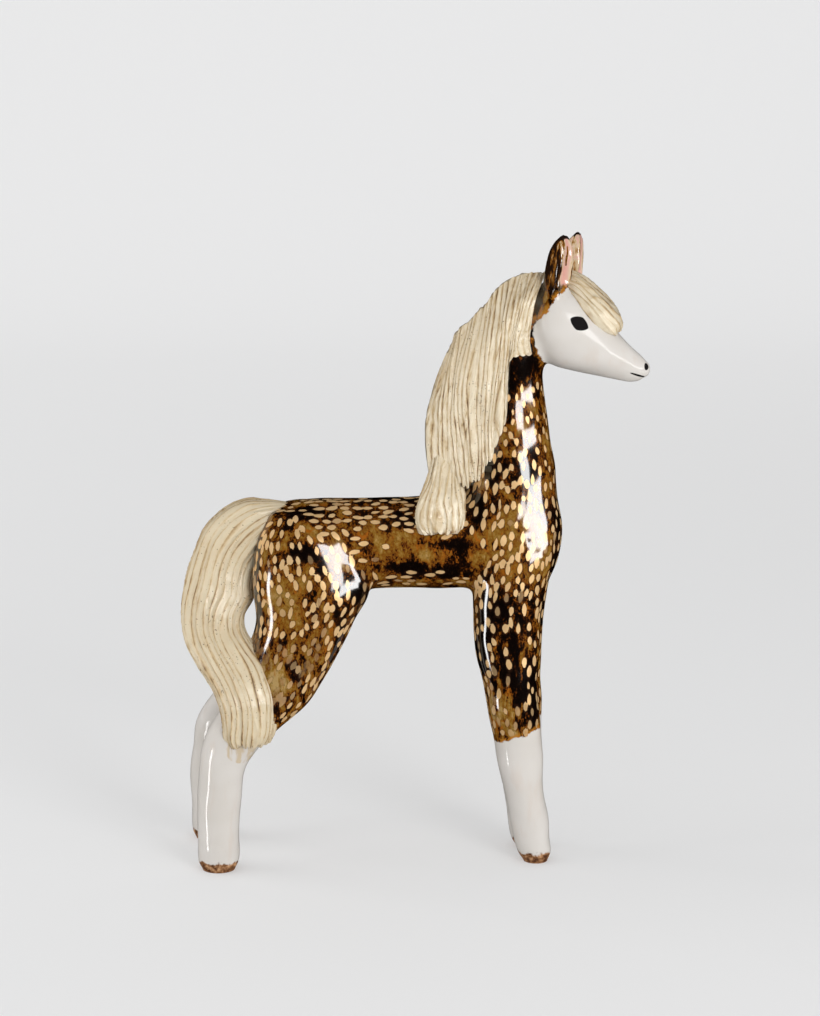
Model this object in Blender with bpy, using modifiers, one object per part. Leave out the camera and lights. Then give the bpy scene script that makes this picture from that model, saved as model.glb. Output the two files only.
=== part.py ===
"""A glazed ceramic horse figurine, standing, with a combed mane and tail.

The real figure is one fired piece. Its maker rolled the clay into a barrel, a
neck, a head and four legs, pressed them together and wiped the joins smooth,
then laid on slabs of combed clay for the mane, the forelock and the tail. The
model is built in the same order and ends as one solid.

The head faces +X, the viewer's side of the photograph is -Y and the soles
stand at Z = 0. Proportions are drawn on a figure 251 mm tall, in MM.
"""

import bpy
import bmesh
import numpy as np
from mathutils import Matrix

# Driving sizes, in metres
FIGURE_HEIGHT = 0.251              # soles to ear tips
MM = FIGURE_HEIGHT / 251.0         # a millimetre on a figure 251 mm tall
HIND_STANCE = 0.041                # between the middles of the two hind feet
FORE_STANCE = 0.019                # between the middles of the two fore feet
STOCKING_TOP = 0.052               # the white glaze on the legs ends here
GROOVE_DEPTH = 0.001               # how deep the comb went into the clay
MANE_STRANDS = 14
TAIL_STRANDS = 16
FORELOCK_STRANDS = 14
TUFT_STRANDS = 9
CLAY_GRAIN = 0.0013                # size of the net that skins the joined rolls
WIPING_PASSES = 14                 # strokes that fill the joins between rolls
SLIDE_SHARE = 0.3                  # how much of its way along the surface a point goes
BODY_FACES = 3700                  # triangles kept on the body below the hair
EAR_HOLLOW = 0.8                   # how far the ear's front is pushed in, of its depth
EAR_ROUNDING = 0.0012              # how far the tips reach past their last section
NOSE_ROUNDING = 0.0015
ROLL_END = 0.004                   # the same on the ends that other rolls cover

# Fineness: sections along a roll and points around it
ROLL_NET = (45, 40)
HEAD_NET = (50, 40)
LEG_NET = (70, 36)
POINTS_PER_STRAND = 3
MANE_SECTIONS = 14
TAIL_SECTIONS = 23
FORELOCK_SECTIONS = 10
TUFT_SECTIONS = 8

# Lengths from here on are in MM.
FACE_BACK = 53.0                   # the face is white in front of this X
FACE_FLOOR = 191.0                 # and above this Z
FAR_HIND_BACK = 5.8                # how much further back the far hind foot stands
FAR_FORE_SWAY = 2.2                # far foreleg: foot this far back, thigh as far forward
CREST_HALF = 2.0                   # half the mane's thickness along the crest

# Each roll is a row of sections. A section runs from its rear or upper edge to its
# front or lower edge in the X-Z plane, and bulges half a width to each side:
# x and z of the first edge, x and z of the second, middle y, half width.
BARREL = [
    (-58.4, 135.0, -57.0, 112.0, 0.0, 9.0),
    (-54.6, 141.6, -54.0, 106.0, 0.0, 15.5),
    (-45.5, 145.0, -45.0, 103.5, 0.0, 19.5),
    (-33.6, 146.0, -33.1, 105.5, 0.0, 20.0),
    (-21.7, 146.3, -21.1, 108.5, 0.0, 19.0),
    (-9.9, 146.3, -9.9, 110.2, 0.0, 18.0),
    (2.0, 146.6, 2.0, 110.4, 0.0, 17.6),
    (13.9, 148.0, 13.9, 110.2, 0.0, 17.8),
    (25.7, 150.0, 25.9, 109.7, 0.0, 18.4),
    (37.5, 151.5, 37.8, 107.8, 0.0, 18.6),
    (47.4, 149.8, 47.8, 107.0, 0.0, 17.6),
    (55.0, 145.0, 55.3, 112.0, 0.0, 13.5),
]
NECK = [
    (18.5, 124.0, 57.0, 112.0, 0.0, 15.5),
    (18.9, 131.0, 61.0, 124.0, 0.0, 17.6),
    (20.2, 138.5, 61.9, 134.5, 0.0, 17.8),
    (22.6, 147.5, 60.6, 146.6, 0.0, 16.8),
    (24.9, 157.4, 59.2, 158.9, 0.0, 15.2),
    (26.4, 168.2, 57.3, 170.5, 0.0, 13.7),
    (27.2, 179.3, 55.4, 181.8, 0.0, 12.6),
    (27.9, 190.0, 54.3, 190.8, 0.0, 12.0),
    (29.6, 201.1, 54.0, 198.7, 0.0, 12.0),
    (33.5, 212.1, 56.5, 204.2, 0.0, 11.8),
    (40.0, 221.5, 60.0, 210.9, 0.0, 10.5),
]
HEAD = [
    (49.4, 221.0, 50.6, 211.0, 0.0, 7.0),
    (51.1, 228.0, 51.6, 206.2, 0.0, 11.5),
    (54.9, 232.4, 54.3, 201.9, -0.3, 13.8),
    (60.6, 233.2, 58.8, 199.3, -0.6, 14.8),
    (66.6, 229.8, 64.7, 197.6, -1.0, 14.4),
    (72.9, 223.6, 70.6, 196.0, -1.5, 12.9),
    (78.9, 217.0, 77.2, 194.5, -2.0, 11.0),
    (84.0, 211.3, 82.7, 193.4, -2.5, 9.0),
    (88.4, 206.6, 87.5, 192.7, -3.0, 7.3),
    (92.0, 203.3, 91.2, 193.3, -3.3, 5.8),
    (94.4, 200.5, 93.6, 195.0, -3.6, 3.8),
]
HIND_LEG = [
    (-53.5, 139.5, -31.0, 141.0, -8.0, 8.5),
    (-58.0, 132.2, -21.4, 134.2, -9.4, 11.6),
    (-59.4, 122.6, -16.4, 123.4, -10.8, 12.9),
    (-59.6, 110.8, -14.2, 110.0, -12.0, 12.9),
    (-59.2, 98.9, -20.2, 98.9, -13.2, 12.3),
    (-61.0, 87.1, -25.8, 87.9, -14.4, 11.3),
    (-65.8, 75.2, -32.2, 76.8, -15.6, 10.2),
    (-72.0, 65.8, -39.0, 66.6, -16.8, 9.3),
    (-77.6, 57.5, -49.6, 57.1, -17.9, 8.6),
    (-80.4, 49.1, -58.9, 48.3, -18.7, 8.2),
    (-81.5, 39.5, -63.3, 40.3, -19.3, 8.0),
    (-82.2, 27.3, -65.2, 27.3, -19.8, 8.0),
    (-82.5, 13.8, -65.9, 13.8, -20.2, 8.0),
    (-82.1, 4.3, -66.2, 4.3, -20.5, 7.6),
    (-80.6, 0.6, -67.5, 0.6, -20.5, 6.3),
    (-79.8, -2.0, -68.3, -2.0, -20.5, 5.4),
]
FORE_LEG = [
    (31.1, 138.7, 55.1, 138.7, -6.8, 9.0),
    (28.0, 124.9, 57.8, 124.9, -8.2, 10.3),
    (26.5, 110.9, 55.4, 111.7, -8.9, 10.2),
    (27.1, 98.8, 53.8, 99.6, -9.2, 9.6),
    (28.5, 85.8, 52.9, 86.7, -9.3, 9.1),
    (30.8, 72.8, 52.6, 73.6, -9.4, 8.8),
    (33.2, 60.5, 53.3, 61.3, -9.4, 8.5),
    (35.7, 49.0, 54.2, 49.4, -9.4, 8.2),
    (38.4, 35.3, 55.4, 36.2, -9.5, 7.8),
    (41.3, 21.6, 56.5, 22.5, -9.5, 7.5),
    (43.8, 9.1, 58.0, 9.9, -9.5, 7.1),
    (45.6, 3.4, 58.6, 4.1, -9.5, 6.5),
    (47.4, 0.6, 57.4, 0.6, -9.5, 5.2),
    (48.2, -2.0, 56.6, -2.0, -9.5, 4.3),
]
EAR = [
    (-5.8, 0.0, 4.2, 1.0, 0.0, 4.9),
    (-5.5, 6.0, 4.8, 6.6, 0.0, 4.9),
    (-4.8, 12.0, 5.1, 12.2, 0.0, 4.6),
    (-3.2, 17.4, 5.1, 17.2, 0.0, 4.0),
    (-1.0, 21.6, 4.7, 21.2, 0.0, 3.1),
    (1.0, 24.0, 4.0, 23.6, 0.0, 2.0),
]
EARS = [                           # foot, lean forward, turn outward
    ((58.0, -7.6, 225.9), 0.05, 0.73),
    ((63.8, 6.6, 226.1), 0.05, 0.35),
]
TAIL = [
    (-47.0, 144.6, -47.5, 138.0, 0.0, 5.0),
    (-55.5, 145.3, -50.5, 134.5, 0.0, 8.6),
    (-64.0, 145.3, -52.5, 128.6, -0.5, 10.2),
    (-72.3, 141.6, -55.2, 123.6, -1.8, 10.4),
    (-79.0, 134.9, -58.4, 118.2, -3.6, 9.8),
    (-83.5, 125.0, -60.0, 112.2, -5.4, 8.9),
    (-86.3, 115.7, -59.8, 107.2, -7.0, 8.0),
    (-87.7, 107.0, -63.2, 101.0, -9.5, 7.5),
    (-87.6, 98.0, -62.8, 95.4, -12.5, 7.3),
    (-85.6, 90.4, -58.8, 90.2, -16.0, 7.2),
    (-81.3, 82.7, -54.4, 84.6, -19.0, 7.2),
    (-76.1, 74.8, -52.4, 78.2, -21.5, 7.0),
    (-73.2, 67.4, -50.7, 71.0, -23.0, 6.8),
    (-72.2, 60.6, -50.6, 63.8, -23.4, 6.6),
    (-71.8, 54.8, -51.2, 57.2, -23.2, 6.6),
    (-69.2, 50.0, -54.2, 51.4, -22.6, 5.6),
]
FORELOCK = [
    (57.5, 229.0, 61.5, 236.6, -0.5, 5.0),
    (61.5, 225.6, 68.0, 234.9, -1.2, 8.8),
    (65.0, 221.0, 74.6, 230.3, -2.0, 11.4),
    (69.0, 216.4, 79.9, 225.4, -2.4, 12.0),
    (73.4, 213.2, 83.2, 220.2, -2.8, 10.6),
    (77.4, 211.4, 84.3, 216.1, -3.2, 8.4),
    (80.4, 210.8, 83.6, 213.2, -3.4, 5.2),
]
TUFT = [
    (11.6, 166.0, 20.4, 165.0, -4.6, 2.6),
    (10.0, 160.2, 21.8, 158.8, -7.2, 4.0),
    (8.0, 154.4, 23.0, 152.8, -10.4, 4.6),
    (5.8, 149.0, 23.6, 147.6, -12.8, 4.6),
    (4.3, 143.6, 23.6, 142.8, -14.6, 4.2),
    (4.4, 138.4, 23.4, 138.2, -15.8, 3.4),
    (6.6, 134.2, 22.2, 134.0, -16.4, 2.2),
]

# The mane's guide strands, from root to tip, with the strand's place across the
# sheet. The first runs down the back edge, the last beside the cheek.
MANE_GUIDES = [
    (0.0, [(16.2, 203.0, -CREST_HALF), (11.9, 191.2, -CREST_HALF), (8.6, 179.3, -CREST_HALF),
           (8.5, 165.4, -4.5), (10.0, 151.0, -7.0)]),
    (2.4, [(20.7, 212.5, -CREST_HALF), (17.1, 196.4, -8.5), (15.6, 180.7, -9.0),
           (16.4, 166.9, -9.5), (18.4, 151.8, -11.0)]),
    (5.3, [(28.5, 219.8, -CREST_HALF), (25.2, 202.6, -12.0), (24.1, 183.1, -12.8),
           (24.6, 167.4, -13.6), (25.8, 152.9, -16.0)]),
    (8.0, [(37.0, 230.1, -CREST_HALF), (34.0, 212.6, -14.2), (32.5, 193.2, -14.6),
           (31.9, 175.6, -15.2), (31.9, 160.2, -17.0)]),
    (10.5, [(44.8, 234.4, -CREST_HALF), (40.8, 220.4, -14.6), (39.8, 206.9, -15.0),
            (38.7, 191.4, -15.2), (39.1, 178.6, -15.6)]),
    (11.5, [(48.4, 235.2, -CREST_HALF), (44.7, 226.1, -14.4), (42.4, 216.5, -15.0),
            (40.9, 207.6, -15.0), (40.6, 201.3, -14.6)]),
    (14.0, [(54.5, 235.2, -CREST_HALF), (50.9, 227.8, -12.6), (49.0, 218.2, -13.8),
            (48.3, 210.4, -13.8), (49.3, 204.0, -13.0)]),
]


def clear_scene():
    for thing in list(bpy.data.objects):
        bpy.data.objects.remove(thing, do_unlink=True)


def smooth_rows(rows, stations):
    """Catmull-Rom curve through the rows of a table, read at even stations."""
    rows = np.asarray(rows, float)
    ends = np.vstack([2 * rows[0] - rows[1], rows, 2 * rows[-1] - rows[-2]])
    place = np.linspace(0, len(rows) - 1, stations)
    first = np.minimum(place.astype(int), len(rows) - 2)
    t = (place - first)[:, None]
    a, b, c, d = (ends[first + k] for k in range(4))
    return 0.5 * (2 * b + (c - a) * t + (2 * a - 5 * b + 4 * c - d) * t ** 2
                  + (3 * b - a - 3 * c + d) * t ** 3)


def section_rings(rows, stations, around):
    """Ellipses through each section's two edges, as (stations, around, 3)."""
    table = smooth_rows(rows, stations) * MM
    first = table[:, [0, 4, 1]]
    second = table[:, [2, 4, 3]]
    middle = (first + second) / 2
    chord = (second - first) / 2
    turn = np.arange(around) * 2 * np.pi / around
    across = np.array([0.0, 1.0, 0.0])
    return (middle[:, None] - chord[:, None] * np.cos(turn)[None, :, None]
            + table[:, None, 5:6] * across * np.sin(turn)[None, :, None])


def rounded_end(rings, depth, steps=4):
    """Rings that close the far end of a roll like a fingertip of that depth."""
    middle = rings[-1].mean(axis=0)
    before = rings[-2].mean(axis=0)
    onward = (middle - before) / np.linalg.norm(middle - before)
    angle = np.arange(1, steps + 1) * (np.pi / 2) / (steps + 0.4)
    scale = np.cos(angle)[:, None, None]
    reach = np.sin(angle)[:, None, None]
    tip = middle + scale * (rings[-1] - middle) + reach * depth * onward
    return np.concatenate([rings, tip])


def skin(rings):
    """Points and faces of a closed skin over a stack of rings."""
    count, around = rings.shape[:2]
    points = np.concatenate([rings.reshape(-1, 3),
                             [rings[0].mean(axis=0), rings[-1].mean(axis=0)]])
    ring, step = np.meshgrid(np.arange(count - 1), np.arange(around), indexing="ij")
    here = (ring * around + step).ravel()
    side = (ring * around + (step + 1) % around).ravel()
    faces = np.stack([here, side, side + around, here + around], 1).tolist()
    turn = np.arange(around)
    onward = (turn + 1) % around
    last = (count - 1) * around
    faces += np.stack([onward, turn, np.full(around, count * around)], 1).tolist()
    faces += np.stack([last + turn, last + onward,
                       np.full(around, count * around + 1)], 1).tolist()
    return points, faces


def mesh_object(name, points, faces, collection, material):
    mesh = bpy.data.meshes.new(name)
    mesh.from_pydata(points.tolist(), [], faces)
    tidy = bmesh.new()
    tidy.from_mesh(mesh)
    bmesh.ops.recalc_face_normals(tidy, faces=tidy.faces)
    tidy.to_mesh(mesh)
    tidy.free()
    mesh.materials.append(material)
    thing = bpy.data.objects.new(name, mesh)
    collection.objects.link(thing)
    return thing


def glaze(name, colour, roughness):
    material = bpy.data.materials.new(name)
    material.use_nodes = True
    shader = material.node_tree.nodes["Principled BSDF"]
    shader.inputs["Base Color"].default_value = (*colour, 1.0)
    shader.inputs["Roughness"].default_value = roughness
    shader.inputs["Metallic"].default_value = 0.0
    return material


def far_side(rows, shift):
    """The same roll on the other side of the body, moved along X by height."""
    table = np.array(rows, float)
    table[:, 4] *= -1
    for x, z in ((0, 1), (2, 3)):
        table[:, x] += shift(table[:, z])
    return table


def set_stance(rows, stance):
    """Spread a leg sideways so that its foot stands half the stance out."""
    table = np.array(rows, float)
    table[:, 4] *= (stance / MM / 2) / abs(table[-1, 4])
    return table


def far_hind_shift(height):
    """The far hind leg stands a little further back, from the thigh down."""
    return -FAR_HIND_BACK * np.clip((94.0 - height) / 49.0, 0.0, 1.0)


def far_fore_shift(height):
    """The far foreleg is straighter: forward at the knee, back at the foot."""
    return FAR_FORE_SWAY * (2.0 * np.clip(height / 65.0, 0.0, 1.0) - 1.0)


def ear_rings(foot, lean, turn, stations=12, around=20):
    """A leaf of clay, hollowed in front by a thumb, on the crown of the head.

    The front half of each ellipse is pushed in most at its middle, which leaves
    two rims, and is then drawn out again until the rims reach the section's edge.
    """
    rings = rounded_end(section_rings(EAR, stations, around), EAR_ROUNDING)
    middle = rings.mean(axis=1, keepdims=True)
    out = rings - middle
    width = np.abs(out[..., 0]).max(axis=1)[:, None]
    front = np.clip(out[..., 0] / width, 0.0, 1.0)
    hollow = 1.0 - EAR_HOLLOW * front ** 1.5
    rim = (front * hollow).max(axis=1, keepdims=True)
    out[..., 0] *= np.where(front > 0, hollow / rim, 1.0)
    rings = middle + out
    cos, sin = np.cos(turn), np.sin(turn)
    x, y, z = rings[..., 0], rings[..., 1], rings[..., 2]
    x, y = x * cos + y * sin, y * cos - x * sin
    x = x + lean * z
    return np.stack([x, y, z], -1) + np.asarray(foot) * MM


def body_rolls():
    """Every smooth roll of clay, each a closed skin that overlaps its neighbours."""
    hind = set_stance(HIND_LEG, HIND_STANCE)
    fore = set_stance(FORE_LEG, FORE_STANCE)
    barrel = rounded_end(section_rings(BARREL, *ROLL_NET), ROLL_END)
    barrel = rounded_end(barrel[::-1], ROLL_END)
    neck = rounded_end(section_rings(NECK, *ROLL_NET), ROLL_END)
    head = rounded_end(section_rings(HEAD, *HEAD_NET), NOSE_ROUNDING)
    head = rounded_end(head[::-1], ROLL_END)
    rolls = [barrel, neck, head]
    for rows in (hind, far_side(hind, far_hind_shift), fore, far_side(fore, far_fore_shift)):
        leg = section_rings(rows, *LEG_NET)
        rolls.append(rounded_end(leg[::-1], ROLL_END))
    rolls += [ear_rings(*ear) for ear in EARS]
    return [skin(rings) for rings in rolls]


def join_skins(skins):
    points = []
    faces = []
    start = 0
    for skin_points, skin_faces in skins:
        points.append(skin_points)
        faces += [[corner + start for corner in face] for face in skin_faces]
        start += len(skin_points)
    return np.concatenate(points), faces


def evaluated_copy(thing, name):
    """The object with its modifiers applied, in its place."""
    depsgraph = bpy.context.evaluated_depsgraph_get()
    mesh = bpy.data.meshes.new_from_object(thing.evaluated_get(depsgraph))
    mesh.name = name
    copy = bpy.data.objects.new(name, mesh)
    for collection in thing.users_collection:
        collection.objects.link(copy)
    bpy.data.objects.remove(thing, do_unlink=True)
    return copy


def wipe_joins(thing, passes):
    """Raise the hollows along the joins, as a wet finger fills them with clay.

    Each pass moves a point towards the middle of its neighbours, but only where
    that lies outside the surface, so that the rolls themselves keep their size.
    """
    mesh = thing.data
    count = len(mesh.vertices)
    flat = np.empty(count * 3)
    mesh.vertices.foreach_get("co", flat)
    points = flat.reshape(-1, 3)
    pairs = np.empty(len(mesh.edges) * 2, int)
    mesh.edges.foreach_get("vertices", pairs)
    a, b = pairs.reshape(-1, 2).T
    degree = np.bincount(a, minlength=count) + np.bincount(b, minlength=count)
    for _ in range(passes):
        mesh.vertices.foreach_set("co", points.ravel())
        mesh.update()
        normal = np.empty(count * 3)
        mesh.vertex_normals.foreach_get("vector", normal)
        normal = normal.reshape(-1, 3)
        middle = np.stack([np.bincount(a, points[b, k], count)
                           + np.bincount(b, points[a, k], count) for k in range(3)], 1)
        pull = middle / degree[:, None] - points
        rise = (pull * normal).sum(axis=1, keepdims=True)
        slide = pull - rise * normal
        points = points + SLIDE_SHARE * slide + np.clip(rise, 0.0, None) * normal
    mesh.vertices.foreach_set("co", points.ravel())
    mesh.update()


def add_remesh(thing, grain):
    remesh = thing.modifiers.new("skin", "REMESH")
    remesh.mode = "VOXEL"
    remesh.voxel_size = grain
    remesh.adaptivity = 0.0


def cut_soles(thing):
    """Cut everything below the ground off flat, and close the four soles."""
    cut = bmesh.new()
    cut.from_mesh(thing.data)
    whole = list(cut.verts) + list(cut.edges) + list(cut.faces)
    result = bmesh.ops.bisect_plane(cut, geom=whole, plane_co=(0, 0, 0),
                                    plane_no=(0, 0, -1), clear_outer=True)
    rim = [item for item in result["geom_cut"] if isinstance(item, bmesh.types.BMEdge)]
    bmesh.ops.holes_fill(cut, edges=rim, sides=0)
    bmesh.ops.recalc_face_normals(cut, faces=cut.faces)
    cut.to_mesh(thing.data)
    cut.free()


def make_body(collection, materials):
    points, faces = join_skins(body_rolls())
    body = mesh_object("horse_figurine", points, faces, collection, materials["coat"])
    add_remesh(body, CLAY_GRAIN)
    body = evaluated_copy(body, "horse_figurine")
    wipe_joins(body, WIPING_PASSES)
    fewer = body.modifiers.new("fewer faces", "DECIMATE")
    fewer.ratio = min(1.0, BODY_FACES / (2.0 * len(body.data.polygons)))
    body = evaluated_copy(body, "horse_figurine")
    cut_soles(body)
    paint_zones(body, materials)
    return body


def paint_zones(body, materials):
    """White glaze on the stockings and the face, tortoiseshell glaze between."""
    body.data.materials.clear()
    body.data.materials.append(materials["coat"])
    body.data.materials.append(materials["white"])
    for face in body.data.polygons:
        x, _, z = face.center / MM
        stocking = z < STOCKING_TOP / MM
        face.material_index = int(stocking or (z > FACE_FLOOR and x > FACE_BACK))
    body.data.shade_smooth()


def combed(grid, depth, closed):
    """Press comb grooves into a surface grid, whose second way runs across strands.

    Each strand is a rounded ridge, high by half the depth at its middle, between
    grooves cut half the depth below the surface.
    """
    along = np.gradient(grid, axis=0)
    if closed:
        across = np.roll(grid, -1, axis=1) - np.roll(grid, 1, axis=1)
    else:
        across = np.gradient(grid, axis=1)
    normal = np.cross(along, across)
    normal /= np.linalg.norm(normal, axis=2, keepdims=True) + 1e-12
    phase = np.arange(grid.shape[1]) / POINTS_PER_STRAND
    ridge = np.abs(np.sin(np.pi * phase)) ** 0.6 - 0.5
    return grid + normal * (ridge * depth)[None, :, None]


def lock_of_hair(name, rows, strands, stations, collection, material):
    """A closed lock: combed sections along its length, with a flat fan on both ends."""
    rings = section_rings(rows, stations, strands * POINTS_PER_STRAND)
    rings = combed(rings, GROOVE_DEPTH, closed=True)
    points, faces = skin(rings)
    return mesh_object(name, points, faces, collection, material)


def mane_surface():
    """The combed near surface of the mane, as a grid from roots to tips."""
    places = np.array([guide[0] for guide in MANE_GUIDES])
    strands = np.array([smooth_rows(guide[1], MANE_SECTIONS) for guide in MANE_GUIDES])
    fraction = np.linspace(0, places[-1], MANE_STRANDS * POINTS_PER_STRAND + 1)
    index = np.interp(fraction, places, np.arange(len(places)))
    spread = smooth_columns(strands, index)
    grid = np.moveaxis(spread, 0, 1)[..., [0, 2, 1]] * MM
    return combed(grid, GROOVE_DEPTH, closed=False)


def smooth_columns(strands, index):
    """Catmull-Rom curve across the guide strands, read at the given places."""
    ends = np.concatenate([2 * strands[:1] - strands[1:2], strands,
                           2 * strands[-1:] - strands[-2:-1]])
    first = np.minimum(index.astype(int), len(strands) - 2)
    t = (index - first)[:, None, None]
    a, b, c, d = (ends[first + k] for k in range(4))
    return 0.5 * (2 * b + (c - a) * t + (2 * a - 5 * b + 4 * c - d) * t ** 2
                  + (3 * b - a - 3 * c + d) * t ** 3)


def make_mane(collection, material):
    """A saddle of combed clay over the crest, hanging down both sides of the neck."""
    near = mane_surface()
    far = near * np.array([1.0, -1.0, 1.0])
    rings = np.concatenate([near, far[:, ::-1]], axis=1)
    points, faces = skin_flat(rings, near.shape[1])
    return mesh_object("mane", points, faces, collection, material)


def skin_flat(rings, half):
    """A closed skin over doubled rings, whose ends are zipped side to side."""
    count, around = rings.shape[:2]
    points = rings.reshape(-1, 3)
    ring, step = np.meshgrid(np.arange(count - 1), np.arange(around), indexing="ij")
    here = (ring * around + step).ravel()
    side = (ring * around + (step + 1) % around).ravel()
    faces = np.stack([here, side, side + around, here + around], 1).tolist()
    step = np.arange(half - 1)
    last = (count - 1) * around
    zip_up = np.stack([step + 1, step, around - 1 - step, around - 2 - step], 1)
    faces += zip_up.tolist()
    faces += (last + zip_up[:, ::-1]).tolist()
    return points, faces


def press_on_hair(body, slabs):
    """Join the combed slabs to the body, as slip and firing join them."""
    for slab in slabs:
        slab.hide_render = True
        slab.display_type = "WIRE"
        press_on = body.modifiers.new(slab.name, "BOOLEAN")
        press_on.operation = "UNION"
        press_on.solver = "EXACT"
        press_on.material_mode = "TRANSFER"
        press_on.object = slab


def centre_on_origin(thing):
    """Move the figure so that the middle of its box stands over the origin."""
    corners = np.array([vertex.co for vertex in thing.data.vertices])
    middle = (corners.min(axis=0) + corners.max(axis=0)) / 2
    thing.data.transform(Matrix.Translation((-middle[0], -middle[1], 0.0)))


def main():
    clear_scene()
    horse = bpy.data.collections.new("ceramic horse")
    slabs = bpy.data.collections.new("hair slabs")
    for collection in (horse, slabs):
        bpy.context.scene.collection.children.link(collection)
    materials = {
        "coat": glaze("tortoiseshell glaze", (0.16, 0.075, 0.018), 0.12),
        "white": glaze("white glaze", (0.80, 0.77, 0.72), 0.14),
        "hair": glaze("cream slip", (0.62, 0.53, 0.38), 0.28),
    }
    body = make_body(horse, materials)
    hair = [
        make_mane(slabs, materials["hair"]),
        lock_of_hair("tail", TAIL, TAIL_STRANDS, TAIL_SECTIONS, slabs, materials["hair"]),
        lock_of_hair("forelock", FORELOCK, FORELOCK_STRANDS, FORELOCK_SECTIONS, slabs,
                     materials["hair"]),
        lock_of_hair("withers tuft", TUFT, TUFT_STRANDS, TUFT_SECTIONS, slabs, materials["hair"]),
    ]
    press_on_hair(body, hair)
    body = evaluated_copy(body, "horse_figurine")
    centre_on_origin(body)
    body.name = "horse_figurine"


main()
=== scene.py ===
"""The look of a glazed ceramic horse figurine, 251 mm tall, around its CAD solid.

The sections follow the maker's bench: the rolled body with its glazes and gold
dabs, then the combed mane, the forelock, the lock at the withers and the tail,
and last the studio. The head faces +X and the viewer's side is -Y.
"""

import bmesh
import bpy
import numpy as np
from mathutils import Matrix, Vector


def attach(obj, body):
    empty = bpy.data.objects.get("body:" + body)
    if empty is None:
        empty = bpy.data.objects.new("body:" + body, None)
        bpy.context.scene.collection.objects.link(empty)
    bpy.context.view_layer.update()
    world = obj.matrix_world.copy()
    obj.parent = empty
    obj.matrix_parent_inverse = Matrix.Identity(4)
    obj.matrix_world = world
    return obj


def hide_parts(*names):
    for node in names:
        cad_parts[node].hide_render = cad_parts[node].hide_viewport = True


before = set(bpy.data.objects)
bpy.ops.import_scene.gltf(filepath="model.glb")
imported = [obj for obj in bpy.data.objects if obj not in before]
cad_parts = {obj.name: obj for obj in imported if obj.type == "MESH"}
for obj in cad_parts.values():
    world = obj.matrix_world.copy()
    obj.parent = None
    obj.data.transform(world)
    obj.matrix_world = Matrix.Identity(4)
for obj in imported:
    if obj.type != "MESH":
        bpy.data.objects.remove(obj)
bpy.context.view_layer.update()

# The body

# Rolls of white clay for the barrel, neck, head and legs, with two pinched ears,
# pressed together and wiped smooth while wet, then glazed tortoiseshell and white.
# Rows of gold dabs were brushed on and fired last.

MM = 0.001
STAND_AT = np.array([-3.63, 1.18, 0.0]) * MM     # from the drawing to the middle of the CAD box
HIND_STANCE = 41.0
FORE_STANCE = 19.0
ROLL_END = 4 * MM               # how far a roll's rounded end reaches
CLAY_GRAIN = 0.88 * MM          # the net's mesh, which keeps the body under 200,000 triangles
WIPING_PASSES = 31
SETTLING_PASSES = 10

# A section runs between its two edges: x, z and x, z in mm, middle y, half width
BARREL = [
    (-58.4, 135.0, -57.0, 112.0, 0.0, 9.0),
    (-54.6, 141.6, -54.0, 106.0, 0.0, 15.5),
    (-45.5, 145.0, -45.0, 103.5, 0.0, 19.5),
    (-33.6, 146.0, -33.1, 105.5, 0.0, 20.0),
    (-21.7, 146.3, -21.1, 108.5, 0.0, 19.0),
    (-9.9, 146.3, -9.9, 110.2, 0.0, 18.0),
    (2.0, 146.6, 2.0, 110.4, 0.0, 17.6),
    (13.9, 148.0, 13.9, 110.2, 0.0, 17.8),
    (25.7, 150.0, 25.9, 109.7, 0.0, 18.4),
    (37.5, 151.5, 37.8, 107.8, 0.0, 18.6),
    (47.4, 149.8, 47.8, 107.0, 0.0, 17.6),
    (55.0, 145.0, 55.3, 112.0, 0.0, 13.5),
]
NECK = [
    (18.5, 124.0, 57.0, 112.0, 0.0, 15.5),
    (18.9, 131.0, 61.0, 124.0, 0.0, 17.6),
    (20.2, 138.5, 61.9, 134.5, 0.0, 17.8),
    (22.6, 147.5, 60.6, 146.6, 0.0, 16.8),
    (24.9, 157.4, 59.2, 158.9, 0.0, 15.2),
    (26.4, 168.2, 57.3, 170.5, 0.0, 13.7),
    (27.2, 179.3, 55.4, 181.8, 0.0, 12.6),
    (27.9, 190.0, 54.3, 190.8, 0.0, 12.0),
    (29.6, 201.1, 54.0, 198.7, 0.0, 12.0),
    (33.5, 212.1, 56.5, 204.2, 0.0, 11.8),
    (40.0, 221.5, 60.0, 210.9, 0.0, 10.5),
]
HEAD = [
    (49.4, 221.0, 50.6, 211.0, 0.0, 7.0),
    (51.1, 228.0, 51.6, 206.2, 0.0, 11.5),
    (54.9, 232.4, 54.3, 201.9, -0.3, 13.8),
    (60.6, 233.2, 58.8, 199.3, -0.6, 14.8),
    (66.6, 229.8, 64.7, 197.6, -1.0, 14.4),
    (72.9, 223.6, 70.6, 196.0, -1.5, 12.9),
    (78.9, 217.0, 77.2, 194.5, -2.0, 11.0),
    (84.0, 211.3, 82.7, 193.4, -2.5, 9.0),
    (88.4, 206.6, 87.5, 192.7, -3.0, 7.3),
    (92.0, 203.3, 91.2, 193.3, -3.3, 5.8),
    (94.4, 200.5, 93.6, 195.0, -3.6, 3.8),
]
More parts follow.
